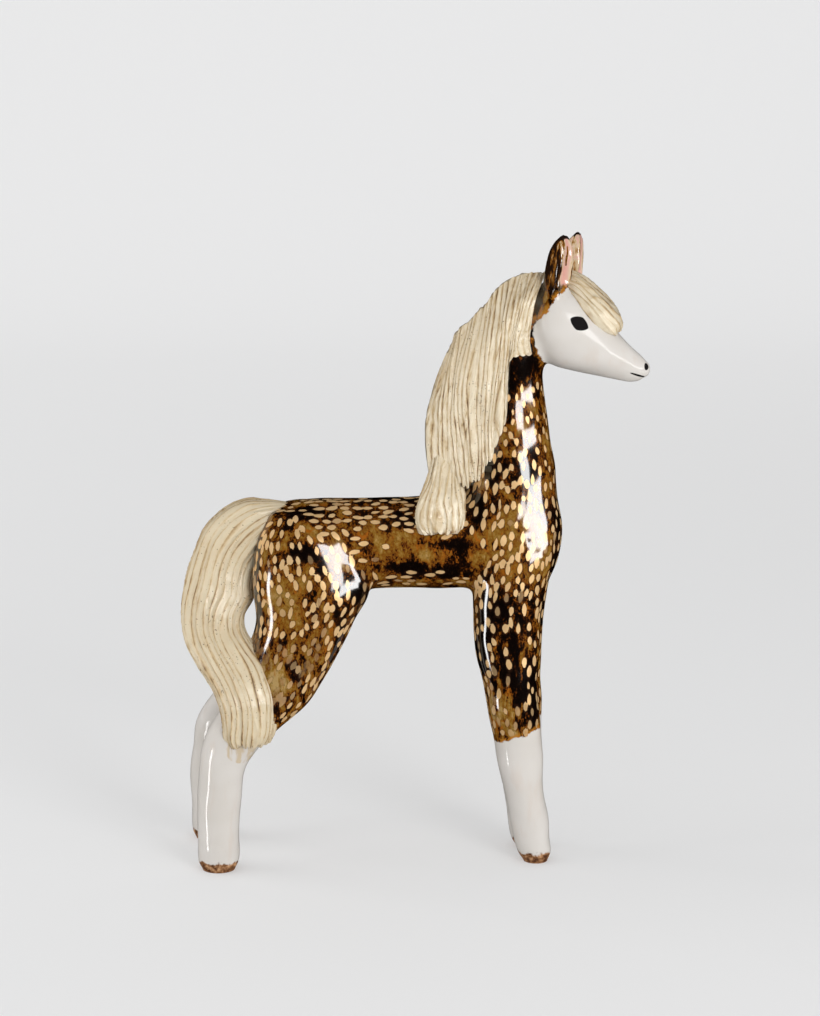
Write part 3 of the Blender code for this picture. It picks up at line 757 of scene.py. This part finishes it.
    # Eyes, nostrils and mouth, the same on both sides of the head's own middle line
    middle = sums("MULTIPLY_ADD", x, -0.086, 5.55 * MM)
    side = sums("ABSOLUTE", sums("SUBTRACT", y, middle))
    mirrored = node(tree, "ShaderNodeCombineXYZ", {0: x, 1: side, 2: z}).outputs[0]
    eye = painted_spot(mirrored, (63.65, 13.6, 217.1), (4.15, 6.0, 2.75), 0.50, 1.45)
    nostril = painted_spot(mirrored, (90.0, 3.4, 199.3), (1.25, 1.8, 1.5), 0.2, 2.0)
    mouth = painted_spot(mirrored, (86.6, 4.8, 196.4), (3.9, 3.8, 0.45), 0.33, 2.0)
    paint = larger(eye, larger(nostril, mouth))
    colour = blend(paint, colour, (0.008, 0.006, 0.006))

    # The soles were wiped bare and washed with bronze
    low = plus(z, swing(noise(place, 260.0), 5.0 * MM))
    bare = step(low, 4.6 * MM, 3.7 * MM)
    wash = ramp(noise(place, 520.0, rough=0.6), [
        (0.36, (0.075, 0.028, 0.011)), (0.50, (0.22, 0.10, 0.042)), (0.64, (0.46, 0.26, 0.13))])
    colour = blend(bare, colour, wash)

    # Glassy on the coat, duller on gold, paint, white and bare clay
    finish = plus(0.16, times(larger(bare, times(paint, 2.2)), 0.26))
    finish = plus(plus(finish, times(gold, 0.22)), times(white, 0.12))
    dull = larger(times(gold, 0.7), larger(bare, paint))
    dull = larger(dull, times(white, plus(0.45, times(step(z, 0.10, 0.15), 0.35))))
    plug(shader, {
        "Base Color": colour, "Metallic": times(gold, 0.45), "Roughness": finish,
        "Coat Weight": sums("SUBTRACT", 1.0, dull), "Coat IOR": 1.75, "Coat Roughness": 0.085,
        "Normal": use_group(RIPPLE, place, Height=0.11 * MM), "Specular IOR Level": 0.12})
    return material


def make_body():
    """Net the rolls into one skin, wipe it, and give it the values the glaze reads."""
    hind = set_stance(HIND_LEG, HIND_STANCE)
    fore = set_stance(FORE_LEG, FORE_STANCE)
    # The far hind leg stands back below the hock, and the far foreleg leans a little
    far_hind = far_side(hind, lambda height: -5.8 * np.clip((94.0 - height) / 49.0, 0.0, 1.0))
    far_fore = far_side(fore, lambda height: -2.2 + 4.4 * np.clip(height / 65.0, 0.0, 1.0))
    barrel = section_rings(BARREL, 130, 90)
    neck = section_rings(NECK, 130, 90)
    legs = [section_rings(rows, 200, 80) for rows in (hind, far_hind, fore, far_fore)]
    ears = [ear_rings(*ear) for ear in EARS]
    head = rounded_end(section_rings(HEAD, 140, 90), 1.5 * MM)
    rolls = [rounded_end(rounded_end(barrel, ROLL_END)[::-1], ROLL_END),
             rounded_end(neck, ROLL_END), rounded_end(head[::-1], ROLL_END)]
    rolls += [rounded_end(leg[::-1], ROLL_END) for leg in legs] + ears
    points, faces, start = [], [], 0
    for rings in rolls:
        ring_points, ring_faces = skin(rings)
        points.append(ring_points + STAND_AT)
        faces += [[corner + start for corner in face] for face in ring_faces]
        start += len(ring_points)
    piece = mesh_piece("rolled_clay", np.concatenate(points), faces)
    net = piece.modifiers.new("net", "REMESH")
    net.mode = "VOXEL"
    net.voxel_size = CLAY_GRAIN
    mesh = bpy.data.meshes.new_from_object(
        piece.evaluated_get(bpy.context.evaluated_depsgraph_get()))
    bpy.data.objects.remove(piece, do_unlink=True)
    wipe_and_settle(mesh)
    press_unevenly(mesh)
    cut_soles(mesh)
    body = bpy.data.objects.new("glazed_body", mesh)
    bpy.context.scene.collection.objects.link(body)
    bpy.context.view_layer.update()

    points = mesh_points(mesh)
    x, z = points[:, 0] / MM, points[:, 2] / MM
    hind_top = np.where(points[:, 1] > 0, FAR_STOCKING_TOP,
                        HIND_STOCKING_TOP + 1.4 * np.clip(-62 - x, 0, 16))
    fore_top = STOCKING_TOP + 0.32 * (x - 37)               # higher in front
    leg = z - np.where(x < -20, hind_top, fore_top)
    up, back = ear_values(points, [rings + STAND_AT for rings in ears])
    for name, values in (
            ("coat_side", np.where(z > 150, side_of_line(x, z, CHEEK_LINE), leg)),
            ("amber_edge", np.where((z > 210) | (z < 100), 1.0, 0.3)),
            ("pooling", sum(strength * np.exp(-((x - px) / wide) ** 2 - ((z - pz) / tall) ** 2)
                            for px, pz, wide, tall, strength in GLAZE_POOLS)),
            ("ear_up", up), ("ear_back", back)):
        give_values(mesh, name, values)

    rng = np.random.default_rng(3)
    zones = [(barrel, lambda p: (p[:, 2] > BELLY_ROWS_TOP) & (p[:, 0] < 16)),
             (neck, lambda p: p[:, 2] > 116)]
    zones += [(leg, lambda p: p[:, 2] > 45) for leg in legs]
    zones += [(barrel, lambda p: (p[:, 2] <= BELLY_ROWS_TOP) & (p[:, 0] < 22))]
    rows = [dab_rows(roll + STAND_AT, rng, keep) for roll, keep in zones]
    nearest, strength = dab_field(points, brush_dabs(body, rows, rng))
    give_values(mesh, "dab", nearest)
    give_values(mesh, "gold", strength)
    return body


glazed_body = make_body()
glazed_body.data.materials.append(coat_material())
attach(glazed_body, "root")
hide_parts("horse_figurine")

# The mane

# A slab of the same clay, combed into strands with a toothed rib, laid over the
# crest as a saddle and hung down both sides of the neck. The cream slip on it lets
# brown glaze lie in the grooves.

MANE_STRANDS = 22
# Guide strands from root to tip (x, z, y), with their places across the slab
MANE_GUIDES = [
    (0.0, [(16.2, 203.0, -2.0), (11.9, 191.2, -2.0), (8.6, 179.3, -2.0),
           (8.5, 165.4, -4.5), (10.0, 151.0, -7.0)]),
    (2.4, [(20.7, 212.5, -2.0), (17.1, 196.4, -8.5), (15.6, 180.7, -9.0),
           (16.4, 166.9, -9.5), (18.4, 151.8, -11.0)]),
    (5.3, [(28.5, 219.8, -2.0), (25.2, 202.6, -12.0), (24.1, 183.1, -12.8),
           (24.6, 167.4, -13.6), (25.8, 152.9, -16.0)]),
    (8.0, [(37.0, 230.1, -2.0), (34.0, 212.6, -14.2), (32.5, 193.2, -14.6),
           (31.9, 175.6, -15.2), (31.9, 160.2, -17.0)]),
    (10.5, [(44.8, 234.4, -2.0), (40.8, 220.4, -14.6), (39.8, 206.9, -15.0),
            (38.7, 191.4, -15.2), (39.1, 178.6, -15.6)]),
    (11.5, [(48.4, 235.2, -2.0), (44.7, 226.1, -14.4), (42.4, 216.5, -15.0),
            (40.9, 207.6, -15.0), (40.6, 201.3, -14.6)]),
    (14.0, [(54.5, 235.2, -2.0), (50.9, 227.8, -12.6), (49.0, 218.2, -13.8),
            (48.3, 210.4, -13.8), (49.3, 204.0, -13.0)]),
]
COMB_DEPTH = 0.75 * MM


def drift(u, v, seed, wrap=64):
    """Smooth random values between -1 and 1: a seeded table on whole numbers, eased
    between them by 3t^2 - 2t^3. It repeats after wrap in u."""
    table = np.random.default_rng(seed).uniform(-1, 1, (64, 64))
    u, v = np.broadcast_arrays(u, v)
    low_u, low_v = np.floor(u).astype(int), np.floor(v).astype(int)
    tu, tv = u - low_u, v - low_v
    tu, tv = tu * tu * (3 - 2 * tu), tv * tv * (3 - 2 * tv)
    u0, u1 = low_u % wrap % 64, (low_u + 1) % wrap % 64
    v0, v1 = low_v % 64, (low_v + 1) % 64
    return ((table[u0, v0] * (1 - tu) + table[u1, v0] * tu) * (1 - tv)
            + (table[u0, v1] * (1 - tu) + table[u1, v1] * tu) * tv)


def comb(grid, strands, depth, seed, closed, root=0.0):
    """Press the rib's teeth into a grid whose second way runs across the strands.

    The phase counts strands across and wanders along them, neighbours together. The
    height is |sin(pi * phase)|^0.5 for the grooves, plus a slow rise and fall of each
    strand and of pairs of strands, less slanting grooves where strands cross, and
    fades over the root. Returns the grid, the height as 0 to 1 and the phase."""
    stations, columns = grid.shape[:2]
    along = np.gradient(grid, axis=0)
    if closed:
        across = np.roll(grid, -1, axis=1) - np.roll(grid, 1, axis=1)
        share = np.arange(columns) / columns
    else:
        across = np.gradient(grid, axis=1)
        share = np.arange(columns) / (columns - 1)
    normal = np.cross(along, across)
    normal /= np.linalg.norm(normal, axis=2, keepdims=True) + 1e-12
    u = (share * strands)[None, :]
    v = np.linspace(0, 1, stations)[:, None]
    phase = (u + 0.8 * drift(u / 2, v * 2.6, seed, strands // 2)
             + 0.34 * drift(u, v * 5, seed + 1, strands))
    ridge = np.abs(np.sin(np.pi * phase)) ** 0.5
    lift = (0.42 * drift(u, v * 4 + 7, seed + 2, strands)
            + 0.5 * drift(u / 2, v * 2.2, seed + 3, strands // 2))
    press = 0.60 + 0.48 * drift(u, v * 5, seed + 4, strands)
    slant = u / 2 + 2.5 * v + 0.8 * drift(u / 2, v * 4, seed + 6, strands // 2)
    slant = np.abs(np.sin(np.pi * slant)) ** 0.35
    crossing = (1 - slant) * np.clip(1.6 * drift(u / 2, v * 3, seed + 7, strands // 2), 0, 1)
    grain = 0.10 * drift(u * 3, v * 40, seed + 5, 3 * strands) - 0.8 * crossing
    fade = np.ones_like(v) if root == 0 else np.clip(v / root, 0.15, 1.0)
    out = (ridge * press - 0.45 + lift + grain) * fade
    shown = (1 - (1 - ridge) * (0.35 + 0.65 * press) * (0.35 + 0.65 * fade)) * (1 - 0.6 * crossing)
    return grid + normal * (out * depth)[..., None], shown, phase


def ragged_tips(grid, strands, seed, closed, amount):
    """Read each column up to its own end: strands end unevenly and rounded, since the
    length falls off with the square of the distance from the strand's middle."""
    stations, columns = grid.shape[:2]
    u = np.arange(columns) * strands / (columns if closed else columns - 1)
    jump = np.random.default_rng(seed).uniform(0, 1, strands + 1)[np.floor(u).astype(int)]
    middle = np.abs(u % 1.0 - 0.5) * 2
    length = 1 - amount * (0.8 * jump + 0.5 * middle ** 2)
    place = np.linspace(0, stations - 1, stations)[:, None] * length[None, :]
    low = np.minimum(place.astype(int), stations - 2)
    share = (place - low)[..., None]
    column = np.broadcast_to(np.arange(columns)[None, :], low.shape)
    return grid[low, column] * (1 - share) + grid[low + 1, column] * share


def smooth_columns(strands, index):
    """Catmull-Rom curve across the guide strands, read at the given places."""
    ends = np.concatenate([2 * strands[:1] - strands[1:2], strands,
                           2 * strands[-1:] - strands[-2:-1]])
    first = np.minimum(index.astype(int), len(strands) - 2)
    t = (index - first)[:, None, None]
    a, b, c, d = (ends[first + k] for k in range(4))
    return 0.5 * (2 * b + (c - a) * t + (2 * a - 5 * b + 4 * c - d) * t ** 2
                  + (3 * b - a - 3 * c + d) * t ** 3)


def mane_side(seed, samples=9, stations=230):
    places = np.array([guide[0] for guide in MANE_GUIDES])
    guides = np.array([smooth_rows(guide[1], stations) for guide in MANE_GUIDES])
    fraction = np.linspace(0, places[-1], MANE_STRANDS * samples + 1)
    spread = smooth_columns(guides, np.interp(fraction, places, np.arange(len(places))))
    grid = np.moveaxis(spread, 0, 1)[..., [0, 2, 1]] * MM
    grid = ragged_tips(grid, MANE_STRANDS, seed, False, 0.045)
    return comb(grid, MANE_STRANDS, COMB_DEPTH, seed, False)


def hair_material(name, seed_shift, pale):
    """Cream slip under a clear glaze: brown in the grooves, with hairlines drawn out
    along the strands, flecks, small iron specks and amber stains at the edges."""
    material, tree, shader = new_material(name)
    place = node(tree, "ShaderNodeTexCoord").outputs["Object"]
    moved = node(tree, "ShaderNodeMapping",
                 {"Vector": place, "Location": (seed_shift, 0.0, 0.0)}).outputs[0]
    lines = node(tree, "ShaderNodeCombineXYZ", {
        0: times(attribute(tree, "strand"), 3.6), 1: times(attribute(tree, "run"), 130.0),
        2: seed_shift}).outputs[0]
    hairlines = noise(lines, 1.0, rough=0.6, warp=0.35)
    level = plus(attribute(tree, "comb"), swing(noise(moved, 260.0, detail=4.0, rough=0.65), 0.66))
    level = plus(level, times(sums("SUBTRACT", hairlines, 0.515), 1.2))
    colour = ramp(level, [
        (0.08, (0.10, 0.050, 0.018)), (0.28, (0.29, 0.180, 0.082)), (0.50, (0.51, 0.370, 0.200)),
        (0.76, (0.64, 0.525, 0.355)), (1.0, (0.73 + pale, 0.635 + pale, 0.47 + pale))])
    patch = step(noise(moved, 42.0), 0.44, 0.62)
    colour = blend(times(patch, 0.35), colour, (0.56, 0.44, 0.275))
    specks = use_group(SPECKS, moved, Size=1300.0, Amount=0.13)
    colour = blend(times(specks, 0.8), colour, (0.085, 0.045, 0.018))
    stain = plus(attribute(tree, "stain"), swing(noise(moved, 420.0, detail=4.0), 0.9))
    colour = blend(step(stain, 0.55, 0.95), colour, (0.24, 0.085, 0.012))
    ripple = use_group(RIPPLE, moved, Height=0.34 * MM)
    fine = node(tree, "ShaderNodeBump", {"Height": times(hairlines, 0.40 * MM), "Normal": ripple,
                                         "Strength": 1.0, "Distance": 1.0}).outputs[0]
    plug(shader, {
        "Base Color": colour, "Roughness": plus(0.28, times(noise(moved, 300.0), 0.22)),
        "Normal": fine, "Coat Normal": fine, "Coat Weight": 0.8, "Coat Roughness": 0.07,
        "Specular IOR Level": 0.35})
    return material


def finish_hair(piece, values, stain, material):
    """The hair's attributes (groove height, strand number, metres from the root and
    stain), its material and its place in the frame."""
    for name, column in zip(("comb", "strand", "run", "stain"), (*values, stain)):
        give_values(piece.data, name, column)
    piece.data.materials.append(material)
    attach(piece, "root")
    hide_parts("horse_figurine")


def make_mane():
    """Near and far sides as rings from roots to tips, zipped together at both ends."""
    sides = [mane_side(21), mane_side(37)]
    near, far = sides[0][0], sides[1][0] * np.array([1.0, -1.0, 1.0])
    rings = np.concatenate([near, far[:, ::-1]], axis=1) + STAND_AT
    height, phase = (np.concatenate([sides[0][k], sides[1][k][:, ::-1]], axis=1) for k in (1, 2))
    count, around = rings.shape[:2]
    half = near.shape[1]
    ring, across = np.meshgrid(np.arange(count - 1), np.arange(around), indexing="ij")
    here = (ring * around + across).ravel()
    side = (ring * around + (across + 1) % around).ravel()
    faces = np.stack([here, side, side + around, here + around], 1).tolist()
    across = np.arange(half - 1)
    last = (count - 1) * around
    zip_up = np.stack([across + 1, across, around - 1 - across, around - 2 - across], 1)
    faces += zip_up.tolist() + (last + zip_up[:, ::-1]).tolist()
    piece = mesh_piece("combed_mane", rings.reshape(-1, 3), faces)
    v = np.broadcast_to(np.linspace(0, 1, count)[:, None], (count, around))
    share = np.linspace(0, 1, half)
    front = np.concatenate([share, share[::-1]])[None, :]
    tips = np.clip((v - 0.94) / 0.06, 0, 1) * 0.62
    edge = np.clip((front - 0.92) / 0.06, 0, 1) * np.clip((v - 0.3) / 0.4, 0, 1) * 0.66
    values = height.ravel(), phase.ravel(), (v * 0.085).ravel()
    return piece, values, np.maximum(tips, edge).ravel()


mane, mane_values, mane_stain = make_mane()
finish_hair(mane, mane_values, mane_stain, hair_material("cream glaze on the mane", 0.0, 0.0))

# The forelock

# A small combed pad between the ears, pressed down over the brow, with strands
# that wave towards its tip.

FORELOCK = [
    (57.5, 229.0, 61.5, 236.6, -0.5, 5.0),
    (61.5, 225.6, 68.0, 234.9, -1.2, 8.8),
    (65.0, 221.0, 74.6, 230.3, -2.0, 11.4),
    (69.0, 216.4, 79.9, 225.4, -2.4, 12.0),
    (73.4, 213.2, 83.2, 220.2, -2.8, 10.6),
    (77.4, 211.4, 84.3, 216.1, -3.2, 8.4),
    (80.4, 210.8, 83.6, 213.2, -3.4, 5.2),
]


def lock_of_hair(name, rows, strands, samples, stations, depth, seed, root, tips):
    """A closed lock: combed rings along its length, with ragged tips and fanned ends.
    Returns it, its values for finish_hair and the share of the way from its root."""
    rings = section_rings(rows, stations, strands * samples)
    rings = ragged_tips(rings, strands, seed, True, tips)
    length = np.linalg.norm(np.diff(rings.mean(axis=1), axis=0), axis=1).sum()
    rings, height, phase = comb(rings, strands, depth, seed, True, root)
    points, faces = skin(rings + STAND_AT)
    piece = mesh_piece(name, points, faces)
    v = np.broadcast_to(np.linspace(0, 1, stations)[:, None], height.shape)
    way = np.concatenate([v.ravel(), [0.0, 1.0]])
    values = [np.concatenate([part.ravel(), [0.5, 0.5]]) for part in (height, phase)]
    return piece, (*values, way * length), way


forelock, forelock_values, _ = lock_of_hair(
    "combed_forelock", FORELOCK, 18, 12, 120, 0.7 * MM, 53, 0.0, 0.05)
finish_hair(forelock, forelock_values, 0.0 * forelock_values[0],
            hair_material("cream glaze on the forelock", 0.3, 0.0))

# The lock at the withers

# One thick lock laid over the mane's lower end on the viewer's side, flaring where
# it was pressed on to the shoulder. It took more slip, so it is whiter.

TUFT = [
    (11.6, 166.0, 20.4, 165.0, -4.6, 2.6),
    (10.0, 160.2, 21.8, 158.8, -7.2, 4.0),
    (8.0, 154.4, 23.0, 152.8, -10.4, 4.6),
    (5.8, 149.0, 23.6, 147.6, -12.8, 4.6),
    (4.3, 143.6, 23.6, 142.8, -14.6, 4.2),
    (4.4, 138.4, 23.4, 138.2, -15.8, 3.4),
    (6.6, 134.2, 22.2, 134.0, -16.4, 2.2),
]
tuft, tuft_values, tuft_way = lock_of_hair(
    "withers_lock", TUFT, 22, 10, 120, 0.75 * MM, 71, 0.0, 0.09)
finish_hair(tuft, tuft_values, np.clip((tuft_way - 0.88) / 0.12, 0, 1) * 0.68,
            hair_material("cream glaze on the withers lock", 0.6, 0.03))

# The tail

# A long combed slab from the croup, bent over and down behind the thigh and pressed
# on to the hock. Its root is smooth where the fingers joined it to the rump.

TAIL = [
    (-47.0, 144.6, -47.5, 138.0, 0.0, 5.0),
    (-55.5, 145.3, -50.5, 134.5, 0.0, 8.6),
    (-64.0, 145.3, -52.5, 128.6, -0.5, 10.2),
    (-72.3, 141.6, -55.2, 123.6, -1.8, 10.4),
    (-79.0, 134.9, -58.4, 118.2, -3.6, 9.8),
    (-83.5, 125.0, -60.0, 112.2, -5.4, 8.9),
    (-86.3, 115.7, -59.8, 107.2, -7.0, 8.0),
    (-87.7, 107.0, -63.2, 101.0, -9.5, 7.5),
    (-87.6, 98.0, -62.8, 95.4, -12.5, 7.3),
    (-85.6, 90.4, -58.8, 90.2, -16.0, 7.2),
    (-81.3, 82.7, -54.4, 84.6, -19.0, 7.2),
    (-76.1, 74.8, -52.4, 78.2, -21.5, 7.0),
    (-73.2, 67.4, -50.7, 71.0, -23.0, 6.8),
    (-72.2, 60.6, -50.6, 63.8, -23.4, 6.6),
    (-71.8, 54.8, -51.2, 57.2, -23.2, 6.6),
    (-69.2, 50.0, -54.2, 51.4, -22.6, 5.6),
]
tail, tail_values, tail_way = lock_of_hair(
    "combed_tail", TAIL, 28, 11, 310, 0.85 * MM, 91, 0.12, 0.03)
front = 1 - np.abs(tail_values[1] / 28 - 0.5) * 2     # 1 along the edge that meets the rump
tail_stain = np.clip((front - 0.90) / 0.1, 0, 1) * np.clip((0.30 - tail_way) / 0.1, 0, 1) * 0.75
finish_hair(tail, tail_values, np.maximum(tail_stain, np.clip((0.04 - tail_way) / 0.04, 0, 1) * 0.6),
            hair_material("cream glaze on the tail", 0.9, -0.08))

# The studio

# A pale floor that sweeps up far behind, three windows that the glaze mirrors, and
# a ceiling and a wall that only fill the shadows.

CAMERA_AT = (-0.00163, -0.99882, 0.330)
CAMERA_DOWN = 10.639
CAMERA_LENS = 91.118


def pale_sweep():
    """A floor 8 m wide that turns up behind on a quarter circle of 1.2 m radius: its
    profile is flat, then (sin, 1 - cos) of the angle, then straight up."""
    angle = np.linspace(0, np.pi / 2, 25)
    depth = np.concatenate([[-4.0], 1.6 + 1.2 * np.sin(angle), [2.8]])
    rise = np.concatenate([[0.0], 1.2 - 1.2 * np.cos(angle), [4.0]])
    wide = np.array([-4.0, 4.0])
    points = np.stack([np.tile(wide, len(depth)), np.repeat(depth, 2), np.repeat(rise, 2)], 1)
    first = np.arange(len(depth) - 1) * 2
    faces = np.stack([first, first + 1, first + 3, first + 2], 1).tolist()
    mesh = bpy.data.meshes.new("pale_floor")
    mesh.from_pydata(points.tolist(), [], faces)
    mesh.shade_smooth()
    floor = bpy.data.objects.new("pale_floor", mesh)
    bpy.context.scene.collection.objects.link(floor)
    paper, tree, sheet = new_material("pale paper")
    place = node(tree, "ShaderNodeTexCoord").outputs["Object"]
    depth_in = node(tree, "ShaderNodeSeparateXYZ", {0: place}).outputs[1]
    glow = sums("MULTIPLY_ADD", step(depth_in, 0.1, 2.2), 0.115, 0.338)
    plug(sheet, {"Base Color": (0.50, 0.50, 0.50, 1.0), "Roughness": 0.9,
                 "Specular IOR Level": 0.1, "Emission Color": (1.0, 1.0, 1.0, 1.0),
                 "Emission Strength": glow})
    mesh.materials.append(paper)
    floor.visible_glossy = False        # the glaze mirrors the dim room, not the paper
    return floor


def soft_box(name, azimuth, elevation, distance, width, height, radiance, mirrored=True):
    """An area light that faces the figure's middle, seen at that azimuth to the right
    of the camera. Its power is radiance * pi * area."""
    light = bpy.data.lights.new(name, "AREA")
    light.shape = "RECTANGLE"
    light.size, light.size_y = width, height
    light.energy = radiance * np.pi * width * height
    a, e = np.radians(azimuth), np.radians(elevation)
    away = Vector((np.sin(a) * np.cos(e), -np.cos(a) * np.cos(e), np.sin(e)))
    box = bpy.data.objects.new(name, light)
    box.location = Vector((0.0, 0.0, 0.12)) + away * distance
    box.rotation_euler = away.to_track_quat("Z", "Y").to_euler()
    box.visible_camera = False
    box.visible_glossy = mirrored
    bpy.context.scene.collection.objects.link(box)


pale_sweep()
for light in (("right window", 54.0, -1.0, 1.7, 1.20, 0.26, 10.5),
              ("upper window", 30.0, 14.0, 1.7, 0.60, 0.62, 9.5),
              ("left window", -60.0, -11.0, 1.7, 0.22, 0.75, 12.0),
              ("white ceiling", 0.0, 42.0, 2.0, 3.0, 1.9, 0.45, False),
              ("white wall", -92.0, 10.0, 1.8, 1.6, 1.6, 3.2, False)):
    soft_box(*light)

world = bpy.data.worlds.new("studio air")
world.use_nodes = True
plug(world.node_tree.nodes["Background"], {"Color": (0.98, 0.985, 1.0, 1.0), "Strength": 0.44})
world.cycles_visibility.glossy = False          # nor does it mirror the pale air
bpy.context.scene.world = world
bpy.context.scene.view_settings.view_transform = "Standard"

camera_data = bpy.data.cameras.new("camera")
camera_data.lens = CAMERA_LENS
camera_data.sensor_width = 36.0
camera = bpy.data.objects.new("camera", camera_data)
camera.location = CAMERA_AT
camera.rotation_euler = (np.radians(90.0 - CAMERA_DOWN), 0.0, 0.0)
bpy.context.scene.collection.objects.link(camera)
bpy.context.scene.camera = camera
